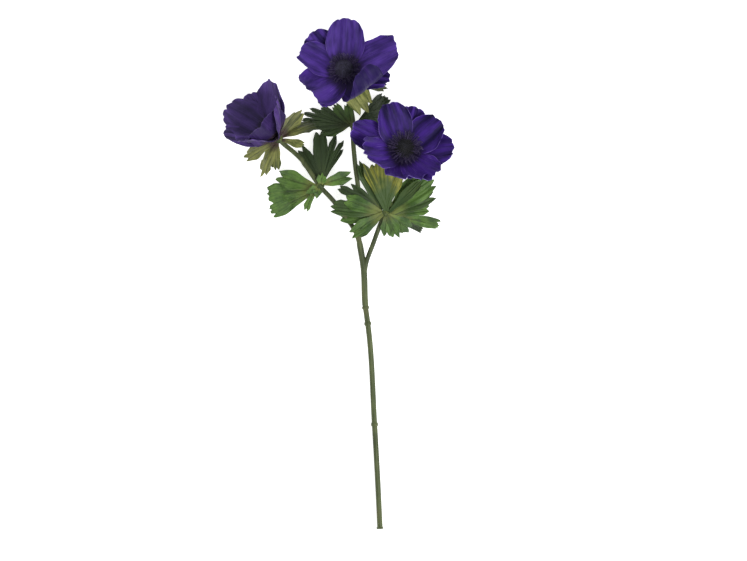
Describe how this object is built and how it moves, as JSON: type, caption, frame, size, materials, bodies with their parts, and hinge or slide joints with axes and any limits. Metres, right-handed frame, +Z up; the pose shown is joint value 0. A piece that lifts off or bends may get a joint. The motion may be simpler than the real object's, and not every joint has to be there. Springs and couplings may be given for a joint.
{
  "type": "branching anemone flower spray",
  "caption": "Branching anemone spray with violet blooms, dark domed centres and lobed leaves on a cut stem, lying on its side.",
  "frame": {"origin": "middle of the bounding box's floor, on the surface that the spray lies on", "axes": "+Y along the stem from its cut end towards the blooms, +X to the right seen from above, +Z up from the surface"},
  "size_m": [0.2256, 0.5014, 0.0917],
  "materials": {
    "stem": "matte olive green wrapped stem",
    "leaf": "matte green leaf with fine veins",
    "bract": "matte yellow-green, darker at the root",
    "petal": "soft matte violet with fine lengthwise veins",
    "centre": "matte near-black, rough"
  },
  "bodies": {
    "root": {"stem": "stem", "left_leaves": "leaf", "top_leaves": "leaf", "right_leaves": "leaf", "left_bracts": "bract", "top_bracts": "bract", "right_bracts": "bract", "left_petals": "petal", "top_petals": "petal", "right_petals": "petal", "left_centre": "centre", "top_centre": "centre", "right_centre": "centre"}
  },
  "joints": []
}
